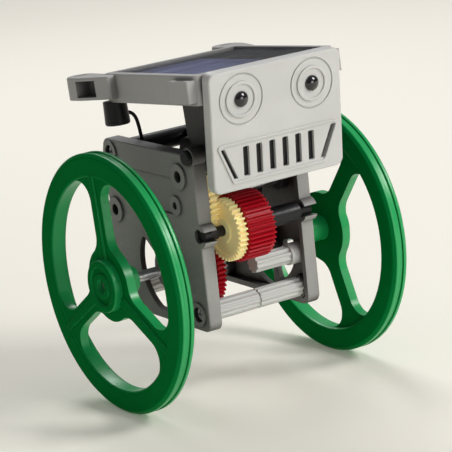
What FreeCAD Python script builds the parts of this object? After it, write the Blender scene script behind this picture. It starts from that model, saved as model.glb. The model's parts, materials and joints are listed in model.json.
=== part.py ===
"""Solar robot kit, built as the two-wheeled racer.

Millimetres.  +X is the robot's left, -Y its front, +Z up.  The shapes are drawn about the
wheel axle and lifted by one wheel radius on export, so the ground is the plane z = 0 and the
origin lies on it, under the middle of the axle.
"""
import FreeCAD, Part
import math
import os

# ---- wheels and axle ----
WHEEL_R = 36.0
RIM_INNER_R = 29.5
RIM_WIDTH = 5.0
WHEEL_OUTER_X = 37.3
SPOKE_WIDTH = 5.4
SPOKE_X = (34.2, 36.8)
SPOKE_FILLET = 5.5
SPOKE_ROOT_R = 10.2
HUB_R = 7.2
HUB_OUTER_X = 39.3
INNER_BOSS_R = 3.6
INNER_BOSS_X = 29.0
AXLE_R = 1.5
AXLE_HALF = 36.0
RIGHT_SPOKE_PHASE = 86.0
LEFT_SPOKE_PHASE = 128.0

# ---- side plates ----
PLATE_OUTER_X = 18.35
PLATE_INNER_X = 14.35
PLATE_WEB = 1.6
PLATE_WALL = 1.6
PLATE_FRONT_Y = -19.2
PLATE_REAR_Y = 27.0
PLATE_BOTTOM_Z = -14.85
PLATE_TOP_Z = 33.8
PLATE_CORNER_R = 2.8
FRONT_SCREW = (-14.6, -10.2)
REAR_SCREW = (23.0, -10.2)
CRADLE_SCREW = (22.9, 30.0)
POST_AXIS = (-14.0, -0.7)
ACCESSORY_BORES = ((-12.0, 27.6), (23.0, 13.6))
ACCESSORY_BORE_R = 1.6
ACCESSORY_BOSS_R = 3.5
SCREW_BOSS_R = 3.3
THROUGH = (13, 20)
PIVOT = (-17.4, 33.4)
PIVOT_R = 1.25
LUG_R = 2.6

# ---- gear train: teeth, module ----
PRESSURE_ANGLE = math.radians(20)
BACKLASH = 0.10
M_SLOW = 0.45
M_FAST = 0.5
OUTPUT_TEETH = 62
CREAM_TEETH = 36
WIDE_TEETH = 40
IDLER_PINION_TEETH = 13
IDLER_TEETH = 38
MOTOR_PINION_TEETH = 8
SLOW_SHIFT = 0.30
FAST_SHIFT = 0.50
OUTPUT_CENTRES = M_SLOW * (OUTPUT_TEETH + CREAM_TEETH) / 2
IDLER_CENTRES = M_SLOW * (WIDE_TEETH + IDLER_PINION_TEETH) / 2
MOTOR_CENTRES = M_FAST * (IDLER_TEETH + MOTOR_PINION_TEETH) / 2
FRONT_SHAFT_ANGLE = math.radians(146.8)
IDLER_ANGLE = math.radians(37.0)
MOTOR_ANGLE = math.radians(25.0)
FRONT_SHAFT_R = 1.5
SHAFT_END_R = 1.9
FAST_X = (-13.5, -10.9)
SLOW_X = (-10.7, -8.1)
WIDE_X = (-7.8, 0.4)

# ---- motor ----
CAN_R = 10.0
CAN_FLAT = 7.5
CAN_X = (-5.8, 12.2)
CAN_WALL = 0.8
MOTOR_SHAFT_R = 1.0
ARMATURE_R = 6.4

# ---- head ----
FACE_WIDTH = 41.5
FACE_HEIGHT = 32.1
FACE_DEPTH = 3.0
FACE_SKIN = 1.8
FACE_LEAN = 5.0
FACE_FOOT = (-32.4, 25.5)
FACE_SCREW = (16.0, 25.0)
EYE_X = 11.2
EYE_Z = 24.1
EYE_RING_R = 6.85
EYE_DISC_R = 4.7
PUPIL_R = 2.0
MOUTH_SLOTS = 6
MOUTH_PITCH = 4.15
MOUTH_SLOT_WIDTH = 1.9
MOUTH_Z = (3.4, 11.4)
MOUTH_SKIN = 0.9
MOUTH_BORDER = (0.25, 0.9)
FRAME_HALF = 22.1
FRAME_LENGTH = 46.4
FRAME_TALL = 7.9
FRAME_RAIL = 2.2
FRAME_DROP = 4.5
FRAME_CORNER = (-30.7, 57.2)
CAP_R = 3.35
CAP_TALL = 6.6
BRACKET_SCREW = (9.0, 9.0)
BRACKET_THICK = 2.4

# ---- fasteners ----
SCREW_R = 1.0
SCREW_HEAD_R = 1.9
SCREW_HEAD_TALL = 1.2
SCREW_SLOT = 0.44
WIRE_R = 0.5
SLIP = 0.05

# ---- distance below which two points count as one ----
SAME = 1e-4

X_AXIS = FreeCAD.Vector(1, 0, 0)


def vec(x, y, z):
    return FreeCAD.Vector(x, y, z)


def polar(centre, radius, angle):
    """A (y, z) point at an angle measured from +Y towards +Z."""
    return (centre[0] + radius * math.cos(angle), centre[1] + radius * math.sin(angle))


AXLE = (0.0, 0.0)
FRONT_SHAFT = polar(AXLE, OUTPUT_CENTRES, FRONT_SHAFT_ANGLE)
IDLER = polar(FRONT_SHAFT, IDLER_CENTRES, IDLER_ANGLE)
MOTOR = polar(IDLER, MOTOR_CENTRES, MOTOR_ANGLE)


# ---- general shapes ----
def box(x, y, z):
    """A block from three (low, high) pairs."""
    corner = vec(x[0], y[0], z[0])
    return Part.makeBox(x[1] - x[0], y[1] - y[0], z[1] - z[0], corner)


def rod(radius, x, centre):
    """A cylinder along X over the (low, high) pair x."""
    start = vec(x[0], centre[0], centre[1])
    return Part.makeCylinder(radius, x[1] - x[0], start, X_AXIS)


def joined(shapes):
    """Fuse a list of shapes into one clean solid."""
    first = shapes[0]
    if len(shapes) > 1:
        first = first.fuse(shapes[1:])
    return first.removeSplitter()


def cut_all(shape, tools):
    return shape.cut(Part.makeCompound(tools))


def mirrored(shape):
    return shape.mirror(vec(0, 0, 0), X_AXIS)


def rounded_wire(corners, place):
    """A closed outline of straight runs with an arc of the given radius at each corner.

    corners holds (u, v, radius); place(u, v) gives the point in space.
    """
    stops = []
    for index, (u, v, radius) in enumerate(corners):
        before = corners[index - 1]
        after = corners[(index + 1) % len(corners)]
        back = FreeCAD.Vector(before[0] - u, before[1] - v, 0).normalize()
        ahead = FreeCAD.Vector(after[0] - u, after[1] - v, 0).normalize()
        half = back.getAngle(ahead) / 2
        here = vec(u, v, 0)
        if radius == 0:
            stops.append((here, here, here))
            continue
        reach = radius / math.tan(half)
        inward = (back + ahead).normalize()
        middle = here + inward * (radius / math.sin(half) - radius)
        stops.append((here + back * reach, middle, here + ahead * reach))
    edges = []
    for index, (enter, middle, leave) in enumerate(stops):
        following = stops[(index + 1) % len(stops)][0]
        if enter.distanceToPoint(leave) > SAME:
            arc = [place(p.x, p.y) for p in (enter, middle, leave)]
            edges.append(Part.Arc(*arc).toShape())
        if leave.distanceToPoint(following) > SAME:
            edges.append(Part.makeLine(place(leave.x, leave.y), place(following.x, following.y)))
    return Part.Wire(edges)


def slab_x(corners, x):
    """A rounded outline drawn in (y, z) and given thickness over the pair x."""
    wire = rounded_wire(corners, lambda u, v: vec(x[0], u, v))
    return Part.Face(wire).extrude(vec(x[1] - x[0], 0, 0))


def slab_y(corners, y):
    """A rounded outline drawn in (x, z) and given thickness over the pair y."""
    wire = rounded_wire(corners, lambda u, v: vec(u, y[0], v))
    return Part.Face(wire).extrude(vec(0, y[1] - y[0], 0))


def slab_z(corners, z):
    """A rounded outline drawn in (x, y) and given thickness over the pair z."""
    wire = rounded_wire(corners, lambda u, v: vec(u, v, z[0]))
    return Part.Face(wire).extrude(vec(0, 0, z[1] - z[0]))


def rectangle(low_u, high_u, low_v, high_v, radius):
    return [(low_u, low_v, radius), (high_u, low_v, radius), (high_u, high_v, radius),
            (low_u, high_v, radius)]


def wedge(start, end, reach, x, clear=0.0):
    """The space between two rays from the axle, each moved inwards by clear."""
    low = math.radians(start)
    high = math.radians(end)
    middle = (low + high) / 2
    tip = polar(AXLE, clear / math.sin((high - low) / 2), middle)
    corners = [tip, polar(tip, reach, low), polar(tip, reach * 1.6, middle), polar(tip, reach, high)]
    return slab_x([(y, z, 0) for y, z in corners], x)


def sector(inner, outer, start, end, corner, x, clear=0.0):
    """A ring segment about the axle with its corners rounded, given thickness over x."""
    ring = rod(outer, x, AXLE).cut(rod(inner, x, AXLE))
    segment = ring.common(wedge(start, end, 2 * outer, x, clear))
    upright = [e for e in segment.Edges if max(e.BoundBox.YLength, e.BoundBox.ZLength) < SAME]
    return segment.makeFillet(corner, upright)


def lies_in_plane(shape, axis, value):
    """Whether every point of the shape lies on the plane axis = value."""
    low = getattr(shape.BoundBox, axis + "Min")
    high = getattr(shape.BoundBox, axis + "Max")
    return abs(low - value) < SAME and abs(high - value) < SAME


def edges_in_plane(shape, axis, value):
    """Edges whose points all lie on the plane axis = value."""
    return [edge for edge in shape.Edges if lies_in_plane(edge, axis, value)]


def outer_edges(shape, axis, value, span):
    """Edges of the outermost loop of the flat face on the plane axis = value."""
    for face in shape.Faces:
        if lies_in_plane(face, axis, value) and face.BoundBox.DiagonalLength > span:
            return face.OuterWire.Edges
    return []


# ---- involute gears ----
def involute(angle):
    return math.tan(angle) - angle


def gear_sizes(teeth, module, shift, tip_cut=0.0):
    pitch = teeth * module / 2
    return {
        "teeth": teeth,
        "pitch": pitch,
        "base": pitch * math.cos(PRESSURE_ANGLE),
        "tip": pitch + module * (1 + shift) - tip_cut,
        "root": pitch - module * (1.25 - shift),
        "thick": module * (math.pi / 2 + 2 * shift * math.tan(PRESSURE_ANGLE)) - BACKLASH / 2,
    }


def half_tooth_angle(sizes, radius):
    """Half the angle that a tooth spans at a radius."""
    at_pitch = sizes["thick"] / (2 * sizes["pitch"]) + involute(PRESSURE_ANGLE)
    if radius <= sizes["base"]:
        return at_pitch
    return at_pitch - involute(math.acos(sizes["base"] / radius))


def gear(sizes, centre, phase, x):
    """An involute gear about the X direction with one tooth centred on the angle phase."""
    start = max(sizes["base"], sizes["root"])
    flank_steps = 6
    radii = [start + (sizes["tip"] - start) * k / flank_steps for k in range(flank_steps + 1)]
    pitch_angle = 2 * math.pi / sizes["teeth"]

    def point(radius, angle):
        y, z = polar(centre, radius, angle)
        return vec(x[0], y, z)

    edges = []
    for tooth in range(sizes["teeth"]):
        middle = phase + tooth * pitch_angle
        rising = [point(r, middle - half_tooth_angle(sizes, r)) for r in radii]
        falling = [point(r, middle + half_tooth_angle(sizes, r)) for r in reversed(radii)]
        root_half = half_tooth_angle(sizes, start)
        foot_in = point(sizes["root"], middle - root_half)
        foot_out = point(sizes["root"], middle + root_half)
        next_foot = point(sizes["root"], middle + pitch_angle - root_half)
        if foot_in.distanceToPoint(rising[0]) > SAME:
            edges.append(Part.makeLine(foot_in, rising[0]))
        up = Part.BSplineCurve()
        up.interpolate(rising)
        edges.append(up.toShape())
        tip = (rising[-1], point(sizes["tip"], middle), falling[0])
        edges.append(Part.Arc(*tip).toShape())
        down = Part.BSplineCurve()
        down.interpolate(falling)
        edges.append(down.toShape())
        if foot_out.distanceToPoint(falling[-1]) > SAME:
            edges.append(Part.makeLine(falling[-1], foot_out))
        valley = (foot_out, point(sizes["root"], middle + pitch_angle / 2), next_foot)
        edges.append(Part.Arc(*valley).toShape())
    return Part.Face(Part.Wire(edges)).extrude(vec(x[1] - x[0], 0, 0))


def meshing_phase(first_teeth, first_phase, line_angle, second_teeth):
    """The phase that puts the second gear's gap on the first gear's tooth."""
    turn = first_teeth * (line_angle - first_phase) / (2 * math.pi)
    return line_angle + math.pi - 2 * math.pi / second_teeth * (0.5 - turn)


OUTPUT_PHASE = FRONT_SHAFT_ANGLE
CREAM_PHASE = meshing_phase(OUTPUT_TEETH, OUTPUT_PHASE, FRONT_SHAFT_ANGLE, CREAM_TEETH)
WIDE_PHASE = IDLER_ANGLE
PINION_PHASE = meshing_phase(WIDE_TEETH, WIDE_PHASE, IDLER_ANGLE, IDLER_PINION_TEETH)
IDLER_PHASE = MOTOR_ANGLE
MOTOR_PINION_PHASE = meshing_phase(IDLER_TEETH, IDLER_PHASE, MOTOR_ANGLE, MOTOR_PINION_TEETH)

OUTPUT_SIZES = gear_sizes(OUTPUT_TEETH, M_SLOW, 0.0)
CREAM_SIZES = gear_sizes(CREAM_TEETH, M_SLOW, 0.0)
WIDE_SIZES = gear_sizes(WIDE_TEETH, M_SLOW, -SLOW_SHIFT)
IDLER_PINION_SIZES = gear_sizes(IDLER_PINION_TEETH, M_SLOW, SLOW_SHIFT, tip_cut=0.12)
IDLER_SIZES = gear_sizes(IDLER_TEETH, M_FAST, -FAST_SHIFT)
MOTOR_PINION_SIZES = gear_sizes(MOTOR_PINION_TEETH, M_FAST, FAST_SHIFT, tip_cut=0.10)


def dished(shape, centre, outer, inner, depth, x):
    """Sink a shallow ring into both faces of a gear."""
    low = rod(outer, (x[0], x[0] + depth), centre).cut(rod(inner, (x[0], x[0] + depth), centre))
    high = rod(outer, (x[1] - depth, x[1]), centre).cut(rod(inner, (x[1] - depth, x[1]), centre))
    return cut_all(shape, [low, high])


# ---- fasteners ----
def screw_x(centre, head_x, length, direction):
    """A pan-head cross-slot screw along X; the head's top is at head_x, pointing outwards."""
    inner = head_x - direction * SCREW_HEAD_TALL
    tip = inner - direction * length
    head = rod(SCREW_HEAD_R, tuple(sorted((inner, head_x))), centre)
    rim = edges_in_plane(head, "X", head_x)
    head = head.makeFillet(0.5, rim)
    shank = rod(SCREW_R, tuple(sorted((tip, inner))), centre)
    slot_x = tuple(sorted((head_x - direction * 0.6, head_x)))
    arm = SCREW_HEAD_R * 0.6
    half = SCREW_SLOT / 2
    slots = [
        box(slot_x, (centre[0] - arm, centre[0] + arm), (centre[1] - half, centre[1] + half)),
        box(slot_x, (centre[0] - half, centre[0] + half), (centre[1] - arm, centre[1] + arm)),
    ]
    return cut_all(joined([head, shank]), slots)


# ---- chassis ----
def plate_outline(inset):
    corner = max(PLATE_CORNER_R - inset, 0.6)
    return rectangle(PLATE_FRONT_Y + inset, PLATE_REAR_Y - inset, PLATE_BOTTOM_Z + inset,
                     PLATE_TOP_Z - inset, corner)


def side_plate(side):
    """The left plate for side +1; the right one is its mirror image plus its own bores."""
    web_x = (PLATE_OUTER_X - PLATE_WEB, PLATE_OUTER_X)
    body = slab_x(plate_outline(0), (PLATE_INNER_X, PLATE_OUTER_X))
    pocket = slab_x(plate_outline(PLATE_WALL), (PLATE_INNER_X, web_x[0]))
    body = body.cut(pocket)
    body = body.makeFillet(0.5, outer_edges(body, "X", PLATE_OUTER_X, 50))

    windows = [
        sector(5.8, 13.3, -88, 38, 1.2, web_x),
        sector(5.8, 11.2, 168, 258, 1.2, web_x),
    ]
    relief = slab_x(rectangle(-8.5, 18.0, 16.5, 26.8, 2.0), (PLATE_OUTER_X - 0.45, PLATE_OUTER_X))
    body = cut_all(body, windows + [relief])

    extra = [
        rod(4.4, (13.6, 18.95), AXLE),
        rod(LUG_R, (PLATE_INNER_X, PLATE_OUTER_X), PIVOT),
        rod(3.3, (PLATE_INNER_X, PLATE_OUTER_X), FRONT_SHAFT),
        rod(2.7, (PLATE_INNER_X, PLATE_OUTER_X + 0.5), IDLER),
    ]
    for centre in (FRONT_SCREW, REAR_SCREW, CRADLE_SCREW):
        extra.append(rod(SCREW_BOSS_R, (PLATE_INNER_X, PLATE_OUTER_X + 0.45), centre))
    for centre in ACCESSORY_BORES:
        extra.append(rod(ACCESSORY_BOSS_R, (PLATE_INNER_X, PLATE_OUTER_X + 0.6), centre))
    extra.append(rod(2.2, (PLATE_OUTER_X - 0.6, PLATE_OUTER_X + 0.35), (15.0, 22.0)))
    body = joined([body] + extra)

    holes = [
        rod(AXLE_R + SLIP, THROUGH, AXLE),
        rod(PIVOT_R + SLIP, THROUGH, PIVOT),
        rod(SHAFT_END_R + SLIP, THROUGH, FRONT_SHAFT),
        rod(MOTOR_SHAFT_R + SLIP, THROUGH, IDLER),
        box(THROUGH, (FRONT_SHAFT[0] - 5, FRONT_SHAFT[0]),
            (FRONT_SHAFT[1] - 1.45, FRONT_SHAFT[1] + 1.45)),
    ]
    for centre in (FRONT_SCREW, REAR_SCREW, CRADLE_SCREW):
        holes.append(rod(SCREW_R + SLIP, THROUGH, centre))
        holes.append(rod(SCREW_HEAD_R + 0.2, (PLATE_OUTER_X - 1.6, 20), centre))
    for centre in ACCESSORY_BORES:
        holes.append(rod(ACCESSORY_BORE_R, THROUGH, centre))
    if side > 0:
        holes.append(rod(SCREW_R + SLIP, THROUGH, POST_AXIS))
        holes.append(rod(SCREW_HEAD_R + 0.2, (PLATE_OUTER_X - 0.8, 20), POST_AXIS))
    body = cut_all(body, holes).removeSplitter()
    return body if side > 0 else mirrored(body)


def ridged_bar(radius, x, centre, ridges):
    """A round bar with raised ridges along its length."""
    parts = [rod(radius - 0.35, x, centre)]
    for index in range(ridges):
        y, z = polar(centre, radius - 0.45, 2 * math.pi * index / ridges)
        parts.append(rod(0.5, x, (y, z)))
    return joined(parts)


def cross_bar(centre, radius):
    """A ridged bar between the plates, with pilot holes and a parting groove at mid-span."""
    reach = PLATE_INNER_X
    bar = ridged_bar(radius, (-reach, reach), centre, 10)
    groove = rod(radius + 1, (-0.3, 0.3), centre).cut(rod(radius - 0.6, (-0.3, 0.3), centre))
    pilots = [rod(SCREW_R, (-reach, -reach + 9), centre), rod(SCREW_R, (reach - 9, reach), centre)]
    return cut_all(bar, [groove] + pilots)


def ribbed_post():
    """The short fluted post that stands on the left plate in front of the output gear."""
    post = ridged_bar(2.5, (0.6, PLATE_OUTER_X - PLATE_WEB), POST_AXIS, 9)
    collar = rod(3.0, (12.0, PLATE_OUTER_X - PLATE_WEB), POST_AXIS)
    pilot = rod(SCREW_R, (8, 20), POST_AXIS)
    return joined([post, collar]).cut(pilot)


def chassis_screws():
    screws = []
    for centre in (FRONT_SCREW, REAR_SCREW, CRADLE_SCREW):
        for side in (-1, 1):
            screws.append(screw_x(centre, side * (PLATE_OUTER_X - 0.4), 7.0, side))
    screws.append(screw_x(POST_AXIS, PLATE_OUTER_X + 0.4, 7.0, 1))
    return Part.makeCompound(screws)


def head_pivot_pins():
    """Two headed pins, pushed in from outside through plate and bracket."""
    shank = rod(PIVOT_R, (11.6, PLATE_OUTER_X + SLIP), PIVOT)
    head = rod(2.1, (PLATE_OUTER_X + SLIP, PLATE_OUTER_X + 1.3), PIVOT)
    head = head.makeFillet(0.4, edges_in_plane(head, "X", PLATE_OUTER_X + 1.3))
    pin = joined([shank, head])
    return Part.makeCompound([pin, mirrored(pin)])


# ---- motor ----
def about_motor(block, degrees):
    """Turn a block drawn about the X axis and move it to the motor's centre line."""
    block.rotate(vec(0, 0, 0), X_AXIS, degrees)
    block.translate(vec(0, MOTOR[0], MOTOR[1]))
    return block


def can_outline(grow, x):
    """The can's section: a round with two flats that face the idler shaft and the rear."""
    disc = rod(CAN_R + grow, x, MOTOR)
    half = CAN_FLAT + grow
    keep = box(x, (-half, half), (-2 * CAN_R, 2 * CAN_R))
    return disc.common(about_motor(keep, math.degrees(MOTOR_ANGLE)))


def motor_can():
    shell = can_outline(0, CAN_X).cut(can_outline(-CAN_WALL, (CAN_X[0] + CAN_WALL, CAN_X[1])))
    nose = rod(3.0, (CAN_X[0] - 1.2, CAN_X[0] + 0.1), MOTOR)
    return joined([shell, nose]).cut(rod(MOTOR_SHAFT_R + SLIP, (CAN_X[0] - 3, CAN_X[0] + 2), MOTOR))


def motor_end_cap():
    cap = can_outline(0, (CAN_X[1], CAN_X[1] + 1.3))
    plug = can_outline(-CAN_WALL - SLIP, (CAN_X[1] - 1.5, CAN_X[1]))
    bearing = rod(2.6, (CAN_X[1] + 1.2, CAN_X[1] + 1.9), MOTOR)
    inner = rod(5.0, (CAN_X[1] - 1.5, CAN_X[1] - 0.5), MOTOR)
    bore = rod(MOTOR_SHAFT_R + SLIP, (CAN_X[1] - 3, CAN_X[1] + 3), MOTOR)
    return cut_all(joined([cap, plug, bearing]), [bore, inner])


def motor_magnets():
    """Two arc magnets against the round sides of the can."""
    x = (CAN_X[0] + 2.0, CAN_X[1] - 2.5)
    ring = rod(CAN_R - CAN_WALL - 0.02, x, MOTOR).cut(rod(ARMATURE_R + 0.5, x, MOTOR))
    pair = []
    for turn in (90, 270):
        block = box(x, (3.0, 11.0), (-4.5, 4.5))
        pair.append(ring.common(about_motor(block, math.degrees(MOTOR_ANGLE) + turn)))
    return Part.makeCompound(pair)


def terminal_places():
    tangent = MOTOR_ANGLE + math.pi / 2
    return [polar(MOTOR, 4.2, tangent), polar(MOTOR, -4.2, tangent)]


def motor_terminals():
    tabs = []
    for y, z in terminal_places():
        tabs.append(box((CAN_X[1] + 1.3, CAN_X[1] + 3.4), (y - 0.9, y + 0.9), (z - 0.2, z + 0.2)))
    return Part.makeCompound(tabs)


def motor_shaft():
    return rod(MOTOR_SHAFT_R, (-14.0, CAN_X[1] + 2.4), MOTOR)


def motor_armature():
    """The three-pole laminated core."""
    x = (CAN_X[0] + 3.5, CAN_X[1] - 4.5)
    parts = [rod(2.6, x, MOTOR)]
    for pole in range(3):
        arm = box(x, (0, ARMATURE_R - 0.6), (-0.9, 0.9))
        rim = rod(ARMATURE_R, x, (0, 0)).cut(rod(ARMATURE_R - 1.0, x, (0, 0)))
        shoe = rim.common(box(x, (3.6, ARMATURE_R + 1), (-3.8, 3.8)))
        parts.append(about_motor(arm, 120 * pole))
        parts.append(about_motor(shoe, 120 * pole))
    return joined(parts).cut(rod(MOTOR_SHAFT_R, x, MOTOR))


def motor_windings():
    """One coil round each pole."""
    x = (CAN_X[0] + 3.5, CAN_X[1] - 4.5)
    coils = []
    for pole in range(3):
        outer = box((x[0] - 0.9, x[1] + 0.9), (3.0, 4.9), (-1.9, 1.9))
        coils.append(about_motor(outer.cut(box(x, (2.8, 5.3), (-0.9, 0.9))), 120 * pole))
    return Part.makeCompound(coils)


def motor_commutator():
    x = (CAN_X[1] - 3.4, CAN_X[1] - 0.6)
    drum = rod(2.4, x, MOTOR).cut(rod(MOTOR_SHAFT_R, x, MOTOR))
    slits = []
    for turn in range(3):
        slits.append(about_motor(box(x, (1.9, 2.9), (-0.15, 0.15)), 60 + 120 * turn))
    return cut_all(drum, slits)


def motor_pinion():
    x = (-13.6, -10.8)
    body = gear(MOTOR_PINION_SIZES, MOTOR, MOTOR_PINION_PHASE, x)
    return body.cut(rod(MOTOR_SHAFT_R, x, MOTOR))


def motor_cradle():
    """A band round the can, with an arm to the cross tube at the upper rear."""
    x = (3.6, 11.2)
    band = can_outline(1.5, x).cut(can_outline(SLIP, x))
    tube = rod(2.7, (-PLATE_INNER_X, PLATE_INNER_X), CRADLE_SCREW)
    start = polar(MOTOR, CAN_FLAT + 0.7, MOTOR_ANGLE)
    arm_low = [(start[0], start[1] - 4.5, 0.8), (CRADLE_SCREW[0], CRADLE_SCREW[1] - 2.0, 0),
               (CRADLE_SCREW[0], CRADLE_SCREW[1] + 2.2, 0), (start[0] - 2.0, start[1] + 5.2, 0.8)]
    arm = slab_x(arm_low, (5.4, 9.4)).cut(can_outline(SLIP, (5, 10)))
    pilots = [rod(SCREW_R, (-PLATE_INNER_X, -5), CRADLE_SCREW),
              rod(SCREW_R, (5, PLATE_INNER_X), CRADLE_SCREW)]
    return cut_all(joined([band, tube, arm]), pilots)


# ---- gears and shafts ----
def output_gear():
    body = gear(OUTPUT_SIZES, AXLE, OUTPUT_PHASE, SLOW_X)
    body = dished(body, AXLE, 11.6, 4.4, 0.6, SLOW_X)
    body = joined([body, rod(3.6, (-12.6, -4.2), AXLE)])
    return body.cut(rod(AXLE_R, (-14, 0), AXLE))


def cream_gear():
    body = gear(CREAM_SIZES, FRONT_SHAFT, CREAM_PHASE, SLOW_X)
    body = dished(body, FRONT_SHAFT, 6.8, 3.4, 0.6, SLOW_X)
    return body.cut(rod(FRONT_SHAFT_R, SLOW_X, FRONT_SHAFT))


def wide_red_gear():
    body = gear(WIDE_SIZES, FRONT_SHAFT, WIDE_PHASE, WIDE_X)
    body = dished(body, FRONT_SHAFT, 7.0, 3.2, 0.9, WIDE_X)
    return body.cut(rod(FRONT_SHAFT_R, WIDE_X, FRONT_SHAFT))


def front_shaft():
    core = rod(FRONT_SHAFT_R, (-15.0, 15.0), FRONT_SHAFT)
    ends = [rod(SHAFT_END_R, (-17.3, -12.9), FRONT_SHAFT), rod(SHAFT_END_R, (13.0, 17.3), FRONT_SHAFT)]
    collar = rod(2.7, (WIDE_X[1] + 0.2, 13.4), FRONT_SHAFT)
    return joined([core, collar] + ends)


def idler_shaft():
    return rod(MOTOR_SHAFT_R, (-18.2, 18.2), IDLER)


def idler_gear():
    """A cluster gear: the large fast gear and the small slow pinion in one moulding."""
    fast = gear(IDLER_SIZES, IDLER, IDLER_PHASE, FAST_X)
    fast = dished(fast, IDLER, 7.6, 3.0, 0.6, FAST_X)
    hub = rod(2.3, (FAST_X[1], WIDE_X[0]), IDLER)
    slow = gear(IDLER_PINION_SIZES, IDLER, PINION_PHASE, WIDE_X)
    return joined([fast, hub, slow]).cut(rod(MOTOR_SHAFT_R, (-14, 4), IDLER))


def wheel_axle():
    core = rod(AXLE_R, (-AXLE_HALF, AXLE_HALF), AXLE)
    tips = edges_in_plane(core, "X", AXLE_HALF) + edges_in_plane(core, "X", -AXLE_HALF)
    core = core.makeChamfer(0.2, tips)
    ends = [rod(0.8, (-AXLE_HALF, -AXLE_HALF + 6), AXLE), rod(0.8, (AXLE_HALF - 6, AXLE_HALF), AXLE)]
    return cut_all(core, ends)


def rim_section():
    """The rim's half-profile in (x, radius): two soft lips with a shallow tread groove."""
    out = WHEEL_OUTER_X
    inn = WHEEL_OUTER_X - RIM_WIDTH
    return [(out, RIM_INNER_R, 0.9), (out, WHEEL_R - 1.1, 0.7), (out - 0.9, WHEEL_R, 0.45),
            (out - 1.7, WHEEL_R, 0.3), (out - 2.0, WHEEL_R - 0.45, 0), (inn + 2.0, WHEEL_R - 0.45, 0),
            (inn + 1.7, WHEEL_R, 0.3), (inn + 0.9, WHEEL_R, 0.45), (inn, WHEEL_R - 1.1, 0.7),
            (inn, RIM_INNER_R, 0.9)]


def wheel(phase):
    """One wheel, drawn on the left side of the robot."""
    profile = Part.Face(rounded_wire(rim_section(), lambda x, r: vec(x, 0, r)))
    rim = profile.revolve(vec(0, 0, 0), X_AXIS, 360)
    disc = rod(RIM_INNER_R + 0.6, SPOKE_X, AXLE)
    windows = []
    ribs = []
    for spoke in range(3):
        angle = phase + 120 * spoke
        windows.append(sector(SPOKE_ROOT_R, RIM_INNER_R, angle, angle + 120, SPOKE_FILLET, SPOKE_X,
                              SPOKE_WIDTH / 2))
        rib = slab_x([(HUB_R - 1.0, -1.3, 0), (RIM_INNER_R + 0.6, -0.7, 0), (RIM_INNER_R + 0.6, 0.7, 0),
                      (HUB_R - 1.0, 1.3, 0)], (SPOKE_X[1] - 0.2, SPOKE_X[1] + 0.6))
        rib.rotate(vec(0, 0, 0), X_AXIS, angle)
        ribs.append(rib)
    disc = cut_all(disc, windows)
    hub = rod(HUB_R, (SPOKE_X[0], HUB_OUTER_X), AXLE)
    hub = hub.makeFillet(0.6, edges_in_plane(hub, "X", HUB_OUTER_X))
    ring = rod(5.4, (HUB_OUTER_X - 0.9, HUB_OUTER_X), AXLE)
    hub = hub.cut(ring.cut(rod(3.4, (HUB_OUTER_X - 0.9, HUB_OUTER_X), AXLE)))
    boss = rod(INNER_BOSS_R, (INNER_BOSS_X, SPOKE_X[0]), AXLE)
    body = joined([rim, disc, hub, boss] + ribs)
    bore = rod(AXLE_R, (19, AXLE_HALF), AXLE)
    screw_hole = rod(SCREW_R + SLIP, (AXLE_HALF, AXLE_HALF + 2), AXLE)
    recess = rod(SCREW_HEAD_R + 0.2, (AXLE_HALF + 0.6, HUB_OUTER_X + 1), AXLE)
    return cut_all(body, [bore, screw_hole, recess])


def wheel_screws():
    left = screw_x(AXLE, AXLE_HALF + 0.6 + SCREW_HEAD_TALL, 4.0, 1)
    thread = left.common(rod(0.78, (30, AXLE_HALF), AXLE))
    top = left.common(rod(3, (AXLE_HALF, 41), AXLE))
    screw = joined([thread, top])
    return Part.makeCompound([screw, mirrored(screw)])


# ---- head ----
def lean_face(shape):
    """Stand a shape drawn on the face's own axes on its foot line, leaning forward."""
    shape.rotate(vec(0, 0, 0), X_AXIS, FACE_LEAN)
    shape.translate(vec(0, FACE_FOOT[0], FACE_FOOT[1]))
    return shape


def drop_frame(shape):
    """Place a shape drawn on the solar frame's own axes; the rear end sits lower."""
    shape.rotate(vec(0, 0, 0), X_AXIS, -FRAME_DROP)
    shape.translate(vec(0, FRAME_CORNER[0], FRAME_CORNER[1]))
    return shape


def disc_y(radius, centre, y):
    """A cylinder along Y at an (x, z) centre."""
    return Part.makeCylinder(radius, y[1] - y[0], vec(centre[0], y[0], centre[1]), vec(0, 1, 0))


def disc_z(radius, centre, z):
    return Part.makeCylinder(radius, z[1] - z[0], vec(centre[0], centre[1], z[0]), vec(0, 0, 1))


def mouth_outline(grow):
    """The mouth: a trapezoid, wide at the top."""
    return [(-13.9 - grow, 2.9 - grow, 1.0), (13.9 + grow, 2.9 - grow, 1.0),
            (18.4 + grow * 1.4, 12.2 + grow, 1.0), (-18.4 - grow * 1.4, 12.2 + grow, 1.0)]


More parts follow.
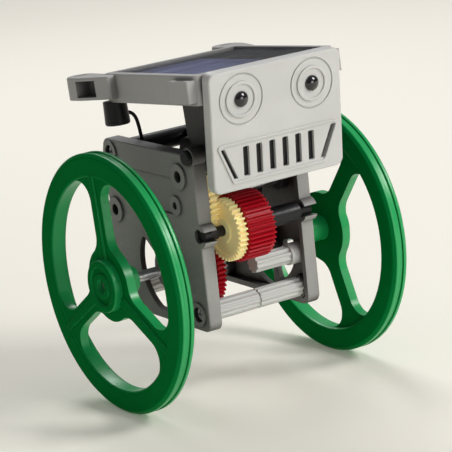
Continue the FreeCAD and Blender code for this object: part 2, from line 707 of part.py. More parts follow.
def face_plate():
    half = FACE_WIDTH / 2
    body = slab_y(rectangle(-half, half, 0, FACE_HEIGHT, 2.2), (0, FACE_DEPTH))
    body = body.makeFillet(0.55, outer_edges(body, "Y", 0, 30))
    wall = 1.5
    hollow = rectangle(-half + wall, half - wall, wall, FACE_HEIGHT - wall, 1.2)
    body = body.cut(slab_y(hollow, (FACE_SKIN, FACE_DEPTH)))
    border = slab_y(mouth_outline(MOUTH_BORDER[1]), (-0.35, 0.5))
    border = border.cut(slab_y(mouth_outline(MOUTH_BORDER[0]), (-0.35, 0.5)))
    raised = [border]
    cuts = [slab_y(mouth_outline(0), (MOUTH_SKIN, FACE_DEPTH))]
    for side in (-1, 1):
        eye = (side * EYE_X, EYE_Z)
        screw = (side * FACE_SCREW[0], FACE_SCREW[1])
        groove = disc_y(EYE_RING_R, eye, (-1, 0.35))
        cuts.append(groove.cut(disc_y(EYE_RING_R - 0.45, eye, (-1, 0.35))))
        raised.append(disc_y(EYE_DISC_R, eye, (-0.45, 0.3)))
        raised.append(disc_y(2.2, screw, (FACE_SKIN - 0.2, FACE_DEPTH)))
        cuts.append(disc_y(EYE_DISC_R - 0.7, eye, (-1, -0.1)))
        cuts.append(disc_y(PUPIL_R + SLIP, eye, (-1, FACE_SKIN + 1)))
        cuts.append(disc_y(SCREW_R, screw, (0.9, 4)))
        slant = [(side * 13.2, 3.3, 0), (side * 14.6, 3.3, 0), (side * 18.4, 11.8, 0),
                 (side * 17.0, 11.8, 0)]
        cuts.append(slab_y(slant, (-1, 4)))
    first = -(MOUTH_SLOTS - 1) / 2 * MOUTH_PITCH
    width = MOUTH_SLOT_WIDTH / 2
    for index in range(MOUTH_SLOTS):
        x = first + index * MOUTH_PITCH
        cuts.append(slab_y(rectangle(x - width, x + width, MOUTH_Z[0], MOUTH_Z[1], 0.4), (-1, 4)))
    return lean_face(cut_all(joined([body] + raised), cuts))


def eye_pupils():
    """Two domed black studs pushed through the face."""
    studs = []
    for side in (-1, 1):
        eye = (side * EYE_X, EYE_Z)
        stem = disc_y(PUPIL_R, eye, (-0.4, 1.7))
        dome = Part.makeSphere(2.6, vec(eye[0], 1.1, eye[1])).common(disc_y(PUPIL_R, eye, (-2, 0)))
        studs.append(joined([stem, dome]))
    return lean_face(Part.makeCompound(studs))


def face_screws():
    """Two screws from behind, through the frame's front bar into the face."""
    screws = []
    for side in (-1, 1):
        centre = (side * FACE_SCREW[0], FACE_SCREW[1])
        head = disc_y(SCREW_HEAD_R, centre, (4.75, 5.9))
        shank = disc_y(SCREW_R - 0.02, centre, (1.2, 4.75))
        slot = box((centre[0] - 1.2, centre[0] + 1.2), (5.4, 6.0),
                   (centre[1] - SCREW_SLOT / 2, centre[1] + SCREW_SLOT / 2))
        screws.append(joined([head, shank]).cut(slot))
    return lean_face(Part.makeCompound(screws))


def ear_knob(side):
    """The rounded ear at a rear corner: an arm, a knob, a side pocket and a slot on top."""
    knob = (side * 24.0, FRAME_LENGTH + 8.8)
    root_y = FRAME_LENGTH - 6.2
    arm_outline = [(side * 20.4, root_y, 0), (side * 24.4, root_y, 1.0),
                   (side * 27.8, FRAME_LENGTH + 4.5, 2.0), (side * 28.0, knob[1], 0),
                   (side * 20.2, knob[1], 0)]
    arm = slab_z(arm_outline, (-6.6, -0.3))
    head = disc_z(4.0, knob, (-6.6, -0.3))
    pocket = slab_z([(side * 22.6, FRAME_LENGTH - 1.4, 0.4), (side * 29.0, FRAME_LENGTH - 1.4, 0),
                     (side * 29.0, FRAME_LENGTH + 5.6, 0), (side * 22.6, FRAME_LENGTH + 5.6, 1.4)],
                    (-5.8, -1.3))
    slot = slab_z(rectangle(knob[0] - 1.9, knob[0] + 1.9, knob[1] - 0.55, knob[1] + 0.55, 0.2), (-2.4, 0))
    body = joined([arm, head])
    body = body.makeFillet(0.6, outer_edges(body, "Z", -0.3, 8))
    return cut_all(body, [pocket, slot])


def front_ear(side):
    """The small slotted block on the outer side of each rail, next to the face."""
    block = slab_z(rectangle(min(side * 21.0, side * 24.4), max(side * 21.0, side * 24.4), 0.6, 9.6, 0.6),
                   (-7.0, -1.2))
    slot = slab_z(rectangle(side * 23.2 - 0.5, side * 23.2 + 0.5, 3.0, 7.4, 0.2), (-3.6, -1.0))
    return block.cut(slot)


def bracket_screw_places():
    return [(side * BRACKET_SCREW[0], BRACKET_SCREW[1]) for side in (-1, 1)]


def solar_frame():
    body = slab_z(rectangle(-FRAME_HALF, FRAME_HALF, 0, FRAME_LENGTH, 1.6), (-FRAME_TALL, 0))
    body = body.makeFillet(0.5, outer_edges(body, "Z", 0, 40))
    inner = FRAME_HALF - FRAME_RAIL
    far = FRAME_LENGTH - FRAME_RAIL
    opening = slab_z(rectangle(-inner, inner, FRAME_RAIL, far, 0.8), (-2.6, 1))
    through = slab_z(rectangle(-inner + 1.6, inner - 1.6, FRAME_RAIL + 1.6, far - 1.6, 0.8), (-9, 1))
    under = slab_z(rectangle(-inner, inner, FRAME_RAIL, far, 0.8), (-9, -4.4))
    body = cut_all(body, [opening, through, under])
    body = joined([body, ear_knob(-1), ear_knob(1), front_ear(-1), front_ear(1)])
    seat = slab_z(rectangle(-14.2, 14.2, 1.0, 16.0, 0.5), (-FRAME_TALL, -6.3))
    seat_holes = [disc_z(SCREW_R, centre, (-9, -5)) for centre in bracket_screw_places()]
    body = cut_all(joined([body, seat]), seat_holes)
    drop_frame(body)
    holes = []
    for side in (-1, 1):
        centre = (side * FACE_SCREW[0], FACE_SCREW[1])
        holes.append(disc_y(SCREW_R + SLIP, centre, (2.5, 9)))
        holes.append(disc_y(SCREW_HEAD_R + 0.3, centre, (4.7, 9)))
    return cut_all(body, [lean_face(hole) for hole in holes])


def panel_board():
    inner = FRAME_HALF - FRAME_RAIL - 0.1
    far = FRAME_LENGTH - FRAME_RAIL - 0.1
    board = slab_z(rectangle(-inner, inner, FRAME_RAIL + 0.1, far, 0.7), (-2.6, -1.5))
    return drop_frame(board)


def solar_cells():
    """Blue cell strips laid across the board."""
    strips = 5
    near = FRAME_RAIL + 1.2
    step = (FRAME_LENGTH - 2 * near) / strips
    half = FRAME_HALF - FRAME_RAIL - 1.3
    cells = []
    for index in range(strips):
        low = near + index * step + 0.25
        cells.append(slab_z(rectangle(-half, half, low, low + step - 0.5, 0.3), (-1.5, -1.2)))
    return drop_frame(Part.makeCompound(cells))


def panel_cover():
    """The clear resin layer, cast over the cells."""
    inner = FRAME_HALF - FRAME_RAIL - 0.1
    far = FRAME_LENGTH - FRAME_RAIL - 0.1
    sheet = slab_z(rectangle(-inner, inner, FRAME_RAIL + 0.1, far, 0.7), (-1.2, -0.5))
    return drop_frame(sheet)


def terminal_cap(side):
    """A round cap over a wire terminal, under a rear corner of the frame."""
    centre = (side * 20.0, FRAME_LENGTH - 0.4)
    cap = Part.makeCone(CAP_R + 0.15, CAP_R - 0.1, CAP_TALL,
                        vec(centre[0], centre[1], -FRAME_TALL - CAP_TALL), vec(0, 0, 1))
    cap = cap.makeFillet(0.6, edges_in_plane(cap, "Z", -FRAME_TALL - CAP_TALL))
    wire_hole = Part.makeCylinder(0.8, 4.0, vec(centre[0] - side * 5.0, centre[1], -FRAME_TALL - 3.4),
                                  vec(side, 0, 0))
    return drop_frame(cap.cut(wire_hole))


def head_bracket():
    """Two cheeks on the pivot pins, a plate under the solar frame and a wall behind the mouth."""
    cheek_x = (12.0, 14.0)
    profile = [(-34.5, 50.0, 0), (-32.0, 36.5, 2.0), (PIVOT[0] - 2.4, PIVOT[1] + 1.0, 0),
               (PIVOT[0] + 2.5, PIVOT[1] - 0.7, 0), (-11.4, 38.0, 2.0), (-10.0, 50.0, 0)]
    cheek = joined([slab_x(profile, cheek_x), rod(LUG_R, cheek_x, PIVOT)])
    top = drop_frame(box((-14.0, 14.0), (-4.0, 19.6), (-FRAME_TALL - BRACKET_THICK, -FRAME_TALL)))
    back = box((-14.0, 14.0), (-12.6, -11.0), (41.0, 47.0))
    mouth_wall = slab_y(rectangle(-18.8, 18.8, 1.9, 14.2, 0.8), (FACE_SKIN + 0.1, FACE_SKIN + 1.6))
    upper_wall = slab_y(rectangle(-14.0, 14.0, 13.0, 21.5, 0.5), (FACE_SKIN + 0.1, FACE_SKIN + 1.6))
    walls = [lean_face(mouth_wall), lean_face(upper_wall)]
    body = joined([cheek, mirrored(cheek), top, back] + walls)
    lid = box((-30, 30), (-60, 60), (-FRAME_TALL, 20))
    skin = box((-30, 30), (-10, FACE_SKIN + 0.1), (-5, 60))
    body = cut_all(body, [drop_frame(lid), lean_face(skin)])
    body = joined([body, lean_face(slab_y(mouth_outline(-0.1), (MOUTH_SKIN + 0.1, FACE_SKIN + 0.2)))])
    bores = [rod(PIVOT_R + SLIP, (-15, 15), PIVOT)]
    for centre in bracket_screw_places():
        bores.append(drop_frame(disc_z(SCREW_R + SLIP, centre, (-14, -5))))
    return cut_all(body, bores)


def bracket_screws():
    """Two screws up through the bracket into the frame's seat."""
    screws = []
    under = -FRAME_TALL - BRACKET_THICK
    for centre in bracket_screw_places():
        head = disc_z(SCREW_HEAD_R, centre, (under - 1.0, under))
        shank = disc_z(SCREW_R - 0.02, centre, (under, -6.2))
        screws.append(joined([head, shank]))
    return drop_frame(Part.makeCompound(screws))


def wire(points, radius):
    """An insulated wire swept along a smooth curve."""
    curve = Part.BSplineCurve()
    curve.interpolate([vec(*p) for p in points])
    path = Part.Wire(curve.toShape())
    direction = curve.tangent(curve.FirstParameter)[0]
    ring = Part.Wire(Part.makeCircle(radius, vec(*points[0]), direction))
    return path.makePipeShell([ring], True, False)


def black_wire():
    _, (y, z) = terminal_places()
    return wire([(-16.2, 15.2, 41.8), (-14.0, 15.4, 40.6), (-12.6, 15.8, 37.4), (-12.0, 15.4, 32.0),
                 (-9.0, 15.0, 24.0), (0.0, 14.6, 17.4), (8.6, 14.0, 15.4), (13.2, 11.6, 15.2),
                 (15.1, 7.0, 17.2), (15.0, y + 0.4, z - 0.75)], WIRE_R)


def red_wire():
    (y, z), _ = terminal_places()
    return wire([(16.2, 15.2, 41.8), (14.0, 15.6, 40.4), (12.9, 15.6, 36.6), (13.3, 13.2, 33.2),
                 (14.7, 7.6, 30.5), (15.0, y + 0.4, z + 0.75)], WIRE_R)


NODES = {
    "right_side_plate": lambda: side_plate(-1),
    "left_side_plate": lambda: side_plate(1),
    "front_crossbar": lambda: cross_bar(FRONT_SCREW, 2.7),
    "rear_crossbar": lambda: cross_bar(REAR_SCREW, 2.7),
    "ribbed_post": ribbed_post,
    "chassis_screws": chassis_screws,
    "head_pivot_pins": head_pivot_pins,
    "motor_cradle": motor_cradle,
    "motor_can": motor_can,
    "motor_magnets": motor_magnets,
    "motor_end_cap": motor_end_cap,
    "motor_terminals": motor_terminals,
    "motor_shaft": motor_shaft,
    "motor_armature": motor_armature,
    "motor_windings": motor_windings,
    "motor_commutator": motor_commutator,
    "motor_pinion": motor_pinion,
    "idler_shaft": idler_shaft,
    "idler_gear": idler_gear,
    "front_shaft": front_shaft,
    "cream_gear": cream_gear,
    "wide_red_gear": wide_red_gear,
    "wheel_axle": wheel_axle,
    "output_gear": output_gear,
    "right_wheel": lambda: mirrored(wheel(RIGHT_SPOKE_PHASE)),
    "left_wheel": lambda: wheel(LEFT_SPOKE_PHASE),
    "wheel_screws": wheel_screws,
    "face_plate": face_plate,
    "eye_pupils": eye_pupils,
    "face_screws": face_screws,
    "head_bracket": head_bracket,
    "bracket_screws": bracket_screws,
    "solar_frame": solar_frame,
    "panel_board": panel_board,
    "solar_cells": solar_cells,
    "panel_cover": panel_cover,
    "black_terminal_cap": lambda: terminal_cap(-1),
    "red_terminal_cap": lambda: terminal_cap(1),
    "black_wire": black_wire,
    "red_wire": red_wire,
}

os.makedirs("parts", exist_ok=True)
for name, make in NODES.items():
    shape = make()
    shape.translate(vec(0, 0, WHEEL_R))
    shape.exportStep("parts/" + name + ".step")
    print(name, len(shape.Solids), round(shape.Volume, 1), shape.isValid())
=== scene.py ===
"""The solar robot's finished look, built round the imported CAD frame.  Metres, same frame."""
import json
import math

import bpy
from mathutils import Matrix, Vector


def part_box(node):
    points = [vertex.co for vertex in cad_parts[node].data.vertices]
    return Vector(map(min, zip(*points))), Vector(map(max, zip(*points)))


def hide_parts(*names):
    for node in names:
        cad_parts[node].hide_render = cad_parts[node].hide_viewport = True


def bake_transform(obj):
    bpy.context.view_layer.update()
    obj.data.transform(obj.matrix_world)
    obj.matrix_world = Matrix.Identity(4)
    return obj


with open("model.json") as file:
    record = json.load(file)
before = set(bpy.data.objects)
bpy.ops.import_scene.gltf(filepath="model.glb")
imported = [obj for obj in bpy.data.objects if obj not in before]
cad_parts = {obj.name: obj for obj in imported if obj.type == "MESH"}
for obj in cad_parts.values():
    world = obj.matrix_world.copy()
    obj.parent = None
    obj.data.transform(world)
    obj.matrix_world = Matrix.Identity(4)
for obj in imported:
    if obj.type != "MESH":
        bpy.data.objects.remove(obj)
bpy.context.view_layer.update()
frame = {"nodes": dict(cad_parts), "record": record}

MM = 0.001
NODES = frame["nodes"]
SLOT_OF = {part["node"]: part["material_slot"] for part in frame["record"]["subparts"]}

# surface pattern scales, in repeats per metre
FLOW_SCALE = 55.0
CLOUD_SCALE = 120.0
SCUFF_SCALE = 700.0
GRAIN_SCALE = 2600.0
TURNED_LINE_SCALE = 3000.0
TARNISH_SCALE = 420.0
CRYSTAL_SCALE = 420.0
CELL_HAZE_SCALE = 70.0
RESIN_WAVE_SCALE = 160.0
RESIN_HAZE_SCALE = 260.0

PLASTIC_IOR = 1.5
DULL_IOR = 1.10
SHADE_REACH = 45.0 * MM
GLOW_DEPTH = 1.5 * MM
FLOW_WAVE = 0.03 * MM
METAL_EDGE = 0.12 * MM
METAL_GRAIN = 0.015 * MM
RESIN_WAVE = 0.05 * MM
FINGER_PITCH = 1.3 * MM
FINGER_WIDTH = 0.10 * MM
FINGER_STRENGTH = 0.55
CELL_SHARE = 0.70
RESIN_GLOSS = 0.80
WHITE = (1.0, 1.0, 1.0, 1.0)


# ---- material building blocks ----
def new_material(name):
    material = bpy.data.materials.new(name)
    material.use_nodes = True
    tree = material.node_tree
    tree.nodes.clear()
    out = tree.nodes.new("ShaderNodeOutputMaterial")
    return material, tree, out


def node(tree, kind, settings=None, inputs=None):
    made = tree.nodes.new(kind)
    for key, value in (settings or {}).items():
        setattr(made, key, value)
    for key, value in (inputs or {}).items():
        if isinstance(value, bpy.types.NodeSocket):
            tree.links.new(value, made.inputs[key])
        else:
            made.inputs[key].default_value = value
    return made


def noise(tree, where, scale, detail=4.0):
    return node(tree, "ShaderNodeTexNoise", None,
                {"Vector": where, "Scale": scale, "Detail": detail}).outputs["Fac"]


def remap(tree, value, low, high, new_low, new_high):
    return node(tree, "ShaderNodeMapRange", None,
                {"Value": value, "From Min": low, "From Max": high, "To Min": new_low,
                 "To Max": new_high}).outputs["Result"]


def mixed(tree, factor, first, second, blend="MIX"):
    mix = node(tree, "ShaderNodeMix", {"data_type": "RGBA", "blend_type": blend})
    for index, value in ((0, factor), (6, first), (7, second)):
        if isinstance(value, bpy.types.NodeSocket):
            tree.links.new(value, mix.inputs[index])
        else:
            mix.inputs[index].default_value = value
    return mix.outputs[2]


def combine(tree, operation, first, second):
    return node(tree, "ShaderNodeMath", {"operation": operation},
                {0: first, 1: second}).outputs["Value"]


def surface_point(tree):
    return node(tree, "ShaderNodeTexCoord").outputs["Object"]


def shade(colour, factor):
    return tuple(min(1.0, c * factor) for c in colour[:3]) + (1.0,)


def edge_mask(tree, rounded, strength):
    """1 along convex and concave edges, 0 on open faces."""
    plain = node(tree, "ShaderNodeNewGeometry").outputs["Normal"]
    dot = node(tree, "ShaderNodeVectorMath", {"operation": "DOT_PRODUCT"},
               {0: rounded, 1: plain})
    return remap(tree, dot.outputs["Value"], 1.0, 1.0 - strength, 0.0, 1.0)


def rounded_normal(tree, radius):
    return node(tree, "ShaderNodeBevel", {"samples": 4}, {"Radius": radius}).outputs["Normal"]


def painted_deep_shade(tree, base, darkest):
    """Painted shade: darken the colour where other pieces close in, as inside the gearbox."""
    open_sky = node(tree, "ShaderNodeAmbientOcclusion", {"samples": 6}, {"Distance": SHADE_REACH})
    keep = remap(tree, open_sky.outputs["AO"], 0.25, 0.85, darkest, 1.0)
    grey = node(tree, "ShaderNodeCombineColor", None,
                {"Red": keep, "Green": keep, "Blue": keep})
    return mixed(tree, 1.0, base, grey.outputs["Color"], "MULTIPLY")


def moulded(name, colour, rough=0.42, coat=0.0, grain=0.01, soft_edge=0.25, specular=0.35,
            mottle=0.05, sheen_through=0.0, wear=0.30, painted_shade_darkest=1.0, glow=0.0,
            painted_lit_rim_colour=None, rim_gloss=0.6):
    """Injection-moulded plastic: faint flow marks, fine grain, scuffs and worn edges.

    Enclosed places can get painted shade, darkening down to the given darkest factor.  Faces that
    look away from the X axis, such as a wheel's tread, can get a lighter colour that is painted
    light for the key light falling there, with the given gloss.  A glow above 0 is a faint
    emission that paints light into the colour.
    """
    material, tree, out = new_material(name)
    where = surface_point(tree)
    stretched = node(tree, "ShaderNodeMapping", None,
                     {"Vector": where, "Scale": (1.0, 0.45, 1.6)}).outputs["Vector"]
    flow = noise(tree, stretched, FLOW_SCALE, 3.0)
    cloud = noise(tree, where, CLOUD_SCALE, 3.0)
    fine = noise(tree, where, GRAIN_SCALE, 3.0)
    scuff = noise(tree, stretched, SCUFF_SCALE, 6.0)
    rounded = rounded_normal(tree, soft_edge * MM)
    worn = edge_mask(tree, rounded, 0.30)
    base = mixed(tree, remap(tree, flow, 0.3, 0.7, 0.0, 1.0), shade(colour, 1 - mottle),
                 shade(colour, 1 + mottle))
    base = mixed(tree, remap(tree, cloud, 0.3, 0.8, 0.0, 0.5), base, shade(colour, 0.93))
    density = PLASTIC_IOR
    # painted light: faces looking away from the X axis get a lighter colour for the key light on
    # the tread, and more gloss
    if painted_lit_rim_colour:
        sideways = node(tree, "ShaderNodeSeparateXYZ", None, {"Vector": rounded}).outputs["X"]
        facing = node(tree, "ShaderNodeMath", {"operation": "ABSOLUTE"},
                      {0: sideways}).outputs["Value"]
        painted_rim_light_and_gloss = remap(tree, facing, 0.35, 0.85, 1.0, 0.0)
        base = mixed(tree, painted_rim_light_and_gloss, base, shade(painted_lit_rim_colour, 1.0))
        specular = remap(tree, painted_rim_light_and_gloss, 0.0, 1.0, specular, rim_gloss)
        density = remap(tree, painted_rim_light_and_gloss, 0.0, 1.0, DULL_IOR, PLASTIC_IOR)
    rubbed = combine(tree, "MULTIPLY", worn, remap(tree, scuff, 0.35, 0.65, 0.3 * wear, wear))
    pale = tuple(min(1.0, c * 1.5 + 0.03) for c in colour[:3]) + (1.0,)
    base = mixed(tree, rubbed, base, pale)
    # painted shade: enclosed places darken down to the given darkest factor
    if painted_shade_darkest < 1.0:
        base = painted_deep_shade(tree, base, painted_shade_darkest)
    roughness = remap(tree, scuff, 0.25, 0.8, rough * 0.88, min(1.0, rough * 1.18))
    bump = node(tree, "ShaderNodeBump", None,
                {"Strength": 1.0, "Distance": grain * MM, "Height": fine, "Normal": rounded})
    wave = node(tree, "ShaderNodeBump", None,
                {"Strength": 0.4, "Distance": FLOW_WAVE, "Height": flow,
                 "Normal": bump.outputs["Normal"]})
    # the emission paints light into the colour where a glow is given
    shader = node(tree, "ShaderNodeBsdfPrincipled", None,
                  {"Base Color": base, "Roughness": roughness, "Normal": wave.outputs["Normal"],
                   "Coat Weight": coat, "Coat Roughness": 0.18, "Specular IOR Level": specular,
                   "IOR": density, "Emission Color": shade(colour, 1.0), "Emission Strength": glow,
                   "Subsurface Weight": sheen_through, "Subsurface Scale": GLOW_DEPTH})
    tree.links.new(shader.outputs["BSDF"], out.inputs["Surface"])
    return material


def metal(name, colour, rough=0.3, grain_along=(1.0, 1.0, 1.0), metallic=1.0, tarnish=0.12):
    """Turned or plated metal: fine grain lines and tarnish clouds."""
    material, tree, out = new_material(name)
    where = surface_point(tree)
    lined = node(tree, "ShaderNodeMapping", None,
                 {"Vector": where, "Scale": grain_along}).outputs["Vector"]
    lines = noise(tree, lined, TURNED_LINE_SCALE, 2.0)
    cloud = noise(tree, where, TARNISH_SCALE, 5.0)
    rounded = rounded_normal(tree, METAL_EDGE)
    base = mixed(tree, remap(tree, cloud, 0.35, 0.7, 0.0, 1.0),
                 shade(colour, 1 + tarnish * 0.4), shade(colour, 1 - tarnish))
    bump = node(tree, "ShaderNodeBump", None,
                {"Strength": 0.6, "Distance": METAL_GRAIN, "Height": lines, "Normal": rounded})
    shader = node(tree, "ShaderNodeBsdfPrincipled", None,
                  {"Base Color": base, "Metallic": metallic, "Normal": bump.outputs["Normal"],
                   "Roughness": remap(tree, lines, 0.3, 0.7, rough * 0.8, rough * 1.3)})
    tree.links.new(shader.outputs["BSDF"], out.inputs["Surface"])
    return material


def stripe(tree, coordinate, pitch, width):
    """1 inside a thin line repeated every pitch metres, 0 between."""
    scaled = combine(tree, "DIVIDE", coordinate, pitch)
    part = node(tree, "ShaderNodeMath", {"operation": "FRACT"}, {0: scaled}).outputs["Value"]
    return combine(tree, "LESS_THAN", part, width / pitch)


def solar_cell_material():
    """Blue polycrystalline silicon with thin silver fingers, and a near-black band over the last
    30 percent along X.
    """
    material, tree, out = new_material("solar_cell")
    where = surface_point(tree)
    split = node(tree, "ShaderNodeSeparateXYZ", None, {"Vector": where})
    flakes = node(tree, "ShaderNodeTexVoronoi", {"feature": "F1"},
                  {"Vector": where, "Scale": CRYSTAL_SCALE})
    tone = node(tree, "ShaderNodeSeparateColor", None,
                {"Color": flakes.outputs["Color"]}).outputs["Red"]
    base = mixed(tree, tone, (0.40, 0.45, 0.92, 1.0), (0.58, 0.62, 1.0, 1.0))
    haze = noise(tree, where, CELL_HAZE_SCALE, 4.0)
    base = mixed(tree, remap(tree, haze, 0.4, 0.75, 0.0, 0.35), base, (0.64, 0.67, 0.98, 1.0))
    fingers = stripe(tree, split.outputs["X"], FINGER_PITCH, FINGER_WIDTH)
    base = mixed(tree, combine(tree, "MULTIPLY", fingers, FINGER_STRENGTH), base,
                 (0.62, 0.65, 0.74, 1.0))
    # near-black over the part of the cells past the given share along X
    low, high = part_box("solar_cells")
    dark_band = combine(tree, "GREATER_THAN", split.outputs["X"],
                     low.x + (high.x - low.x) * CELL_SHARE)
    base = mixed(tree, dark_band, base, (0.012, 0.014, 0.022, 1.0))
    shader = node(tree, "ShaderNodeBsdfPrincipled", None,
                  {"Base Color": base, "Roughness": remap(tree, tone, 0, 1, 0.28, 0.45),
                   "Metallic": 0.15, "Coat Weight": 0.4})
    tree.links.new(shader.outputs["BSDF"], out.inputs["Surface"])
    return material


def clear_resin_material():
    """A clear cast sheet: see-through, with a wavy gloss on top."""
    material, tree, out = new_material("clear_resin")
    where = surface_point(tree)
    bump = node(tree, "ShaderNodeBump", None,
                {"Strength": 0.25, "Distance": RESIN_WAVE,
                 "Height": noise(tree, where, RESIN_WAVE_SCALE, 2.0)})
    fresnel = node(tree, "ShaderNodeFresnel", None,
                   {"IOR": PLASTIC_IOR, "Normal": bump.outputs["Normal"]})
    haze = noise(tree, where, RESIN_HAZE_SCALE, 5.0)
    gloss = node(tree, "ShaderNodeBsdfGlossy", None,
                 {"Color": WHITE, "Roughness": remap(tree, haze, 0.3, 0.7, 0.06, 0.16),
                  "Normal": bump.outputs["Normal"]})
    clear = node(tree, "ShaderNodeBsdfTransparent", None, {"Color": (0.98, 0.99, 1.0, 1.0)})
    weak = combine(tree, "MULTIPLY", fresnel.outputs[0], RESIN_GLOSS)
    both = node(tree, "ShaderNodeMixShader", None, {0: weak})
    tree.links.new(clear.outputs[0], both.inputs[1])
    tree.links.new(gloss.outputs[0], both.inputs[2])
    tree.links.new(both.outputs[0], out.inputs["Surface"])
    return material


def make_materials():
    return {
        # painted shade: both greys darken where pieces close in, most of all inside the gearbox
        "side_gray": moulded("side_gray", (0.39, 0.385, 0.372), rough=0.48, grain=0.02,
                             painted_shade_darkest=0.03),
        "frame_gray": moulded("frame_gray", (0.43, 0.425, 0.415), rough=0.44, grain=0.02,
                              painted_shade_darkest=0.25),
        "light_gray": moulded("light_gray", (0.58, 0.585, 0.57), sheen_through=0.05),
        # painted light and shade: the base green is darkened for the wheel's shaded sides, the
        # lighter green is painted light on the lit tread
        "wheel_green": moulded("wheel_green", (0.0004, 0.165, 0.030), rough=0.30, mottle=0.04,
                               sheen_through=0.03, specular=0.04, wear=0.06,
                               painted_lit_rim_colour=(0.012, 0.38, 0.105), rim_gloss=0.50),
        "red_plastic": moulded("red_plastic", (0.43, 0.003, 0.013), rough=0.36, specular=0.18,
                               sheen_through=0.05, soft_edge=0.10, wear=0.08),
        # painted light: a faint emission brightens the cream gear's shaded side face
        "cream_plastic": moulded("cream_plastic", (0.95, 0.80, 0.40), sheen_through=0.40,
                                 soft_edge=0.10, wear=0.15, glow=0.10),
        "black_plastic": moulded("black_plastic", (0.010, 0.010, 0.012), rough=0.38, mottle=0.2,
                                 wear=0.06),
        "pupil_black": moulded("pupil_black", (0.004, 0.004, 0.005), rough=0.12, coat=0.8,
                               grain=0.0, wear=0.0),
        "motor_black": moulded("motor_black", (0.012, 0.012, 0.014), rough=0.34, specular=0.5,
                               mottle=0.25, wear=0.08),
        "cap_red": moulded("cap_red", (0.12, 0.008, 0.014), rough=0.40, wear=0.08),
        "magnet_gray": metal("magnet_gray", (0.16, 0.16, 0.17), rough=0.55, metallic=0.6),
        "brass_metal": metal("brass_metal", (0.80, 0.60, 0.26), rough=0.28),
        "copper_wire": metal("copper_wire", (0.72, 0.33, 0.16), rough=0.35,
                             grain_along=(0.2, 6.0, 6.0)),
        "shaft_steel": metal("shaft_steel", (0.62, 0.63, 0.65), rough=0.24,
                             grain_along=(12.0, 1.0, 1.0)),
        "screw_steel": metal("screw_steel", (0.40, 0.40, 0.42), rough=0.34),
        "board_dark": moulded("board_dark", (0.012, 0.030, 0.045), rough=0.40, wear=0.05),
        "cell_blue": solar_cell_material(),
        "clear_resin": clear_resin_material(),
        "wire_black": moulded("wire_black", (0.010, 0.010, 0.011), rough=0.45, wear=0.03),
        "wire_red": moulded("wire_red", (0.35, 0.010, 0.015), wear=0.03),
    }


MATERIALS = make_materials()


def dress(obj, slot_name):
    """Put one procedural finish on a mesh in place of whatever it carries."""
    obj.data.materials.clear()
    obj.data.materials.append(MATERIALS[slot_name])


def dress_cad_nodes():
    """Give every carried-over CAD node its procedural finish."""
    for name, obj in NODES.items():
        dress(obj, SLOT_OF[name])


dress_cad_nodes()


def soft_wire(name):
    """A copy of a CAD wire with its finish, put in place of the hidden original."""
    wire = bpy.data.objects.new("soft_" + name, NODES[name].data.copy())
    bpy.context.scene.collection.objects.link(wire)
    dress(wire, SLOT_OF[name])
    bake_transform(wire)
    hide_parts(name)


soft_wire("black_wire")
soft_wire("red_wire")


# ---- stage, light and camera ----
VIEW_AZIMUTH = math.radians(-32.31)
VIEW_ELEVATION = math.radians(14.84)
VIEW_ROLL = math.radians(6.09)
VIEW_DISTANCE = 0.600
VIEW_SHIFT = (0.009, 0.062)
VIEW_NEAREST = 0.01
SENSOR = 36.0
FRAME_PIXELS = 452
FOCAL_PIXELS = 656.6
VIEW_ZOOM = 3.30
LENS = FOCAL_PIXELS / FRAME_PIXELS * VIEW_ZOOM * SENSOR

FLOOR_SIZE = 6.0
FLOOR_COLOUR = (0.95, 0.918, 0.835, 1.0)
FLOOR_GLOW_COLOUR = (1.0, 0.95, 0.83, 1.0)
FLOOR_GLOW = (0.11, 0.80)
FLOOR_GLOW_FROM = (0.75, 2.6)
LIGHTS_AIM_AT = Vector((0, 0, 0.045))
SKY_COLOUR = (0.97, 0.98, 1.0, 1.0)
SKY_STRENGTH = (0.06, 0.34)
SKY_HEIGHT = (-0.1, 1.0)
BACKDROP_COLOUR = (0.86, 0.83, 0.745, 1.0)


def build_floor():
    bpy.ops.mesh.primitive_plane_add(size=FLOOR_SIZE, location=(0, 0, 0))
    floor = bpy.context.object
    floor.name = "floor"
    material, tree, out = new_material("floor_pale")
    distance = node(tree, "ShaderNodeVectorMath", {"operation": "LENGTH"},
                    {0: surface_point(tree)}).outputs["Value"]
    shader = node(tree, "ShaderNodeBsdfPrincipled", None,
                  {"Base Color": FLOOR_COLOUR, "Roughness": 0.80,
                   "Specular IOR Level": 0.2, "Emission Color": FLOOR_GLOW_COLOUR,
                   "Emission Strength": remap(tree, distance, *FLOOR_GLOW_FROM, *FLOOR_GLOW)})
    tree.links.new(shader.outputs["BSDF"], out.inputs["Surface"])
    floor.data.materials.append(material)


def area_light(name, place, size, power, colour=(1, 1, 1)):
    data = bpy.data.lights.new(name, "AREA")
    data.energy = power
    data.size = size
    data.color = colour
    light = bpy.data.objects.new(name, data)
    bpy.context.scene.collection.objects.link(light)
    light.location = place
    aim = LIGHTS_AIM_AT - Vector(place)
    light.rotation_euler = aim.to_track_quat("-Z", "Y").to_euler()


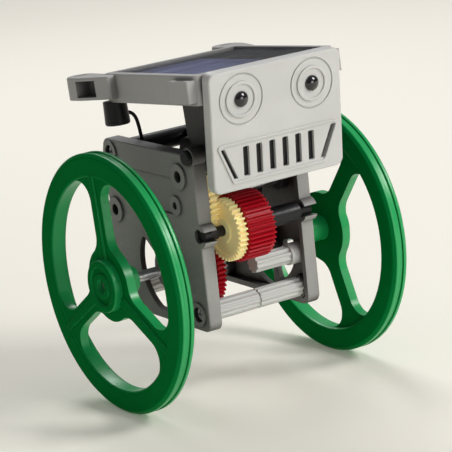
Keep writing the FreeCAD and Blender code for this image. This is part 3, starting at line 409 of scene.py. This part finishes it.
def build_world():
    """Pale where the camera sees it directly; dim and brighter overhead for the light it gives."""
    world = bpy.data.worlds.new("studio")
    world.use_nodes = True
    tree = world.node_tree
    tree.nodes.clear()
    out = tree.nodes.new("ShaderNodeOutputWorld")
    up = node(tree, "ShaderNodeSeparateXYZ", None,
              {"Vector": node(tree, "ShaderNodeTexCoord").outputs["Generated"]}).outputs["Z"]
    glow = node(tree, "ShaderNodeBackground", None,
                {"Color": SKY_COLOUR, "Strength": remap(tree, up, *SKY_HEIGHT, *SKY_STRENGTH)})
    seen = node(tree, "ShaderNodeBackground", None, {"Color": BACKDROP_COLOUR, "Strength": 1.0})
    camera_ray = node(tree, "ShaderNodeLightPath").outputs["Is Camera Ray"]
    both = node(tree, "ShaderNodeMixShader", None, {0: camera_ray})
    tree.links.new(glow.outputs[0], both.inputs[1])
    tree.links.new(seen.outputs[0], both.inputs[2])
    tree.links.new(both.outputs[0], out.inputs["Surface"])
    bpy.context.scene.world = world


def build_lights():
    area_light("key", (0.48, -0.62, 0.62), 0.30, 4.9, (1.0, 0.985, 0.96))
    area_light("front", (0.15, -1.20, 0.13), 0.5, 3.7, (1.0, 0.99, 0.98))
    area_light("left_fill", (-0.90, -0.20, 0.35), 0.7, 0.08, (0.97, 0.98, 1.0))
    area_light("back", (0.25, 0.60, 0.70), 0.4, 3.0)


def build_camera():
    """Look at the middle of the axle from the right front, a little above, with a slight roll."""
    low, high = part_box("wheel_axle")
    target = (low + high) / 2
    back = Vector((math.sin(VIEW_AZIMUTH) * math.cos(VIEW_ELEVATION),
                   -math.cos(VIEW_AZIMUTH) * math.cos(VIEW_ELEVATION), math.sin(VIEW_ELEVATION)))
    right = Vector((math.cos(VIEW_AZIMUTH), math.sin(VIEW_AZIMUTH), 0))
    up = back.cross(right)
    tilted_right = right * math.cos(VIEW_ROLL) - up * math.sin(VIEW_ROLL)
    tilted_up = right * math.sin(VIEW_ROLL) + up * math.cos(VIEW_ROLL)
    data = bpy.data.cameras.new("camera")
    data.sensor_width = SENSOR
    data.lens = LENS
    data.shift_x, data.shift_y = VIEW_SHIFT
    data.clip_start = VIEW_NEAREST
    camera = bpy.data.objects.new("camera", data)
    turn = Matrix((tilted_right, tilted_up, back)).transposed().to_4x4()
    camera.matrix_world = Matrix.Translation(target + back * VIEW_DISTANCE) @ turn
    bpy.context.scene.collection.objects.link(camera)
    bpy.context.scene.camera = camera


build_floor()
build_world()
build_lights()
build_camera()
bpy.context.scene.view_settings.view_transform = "Standard"
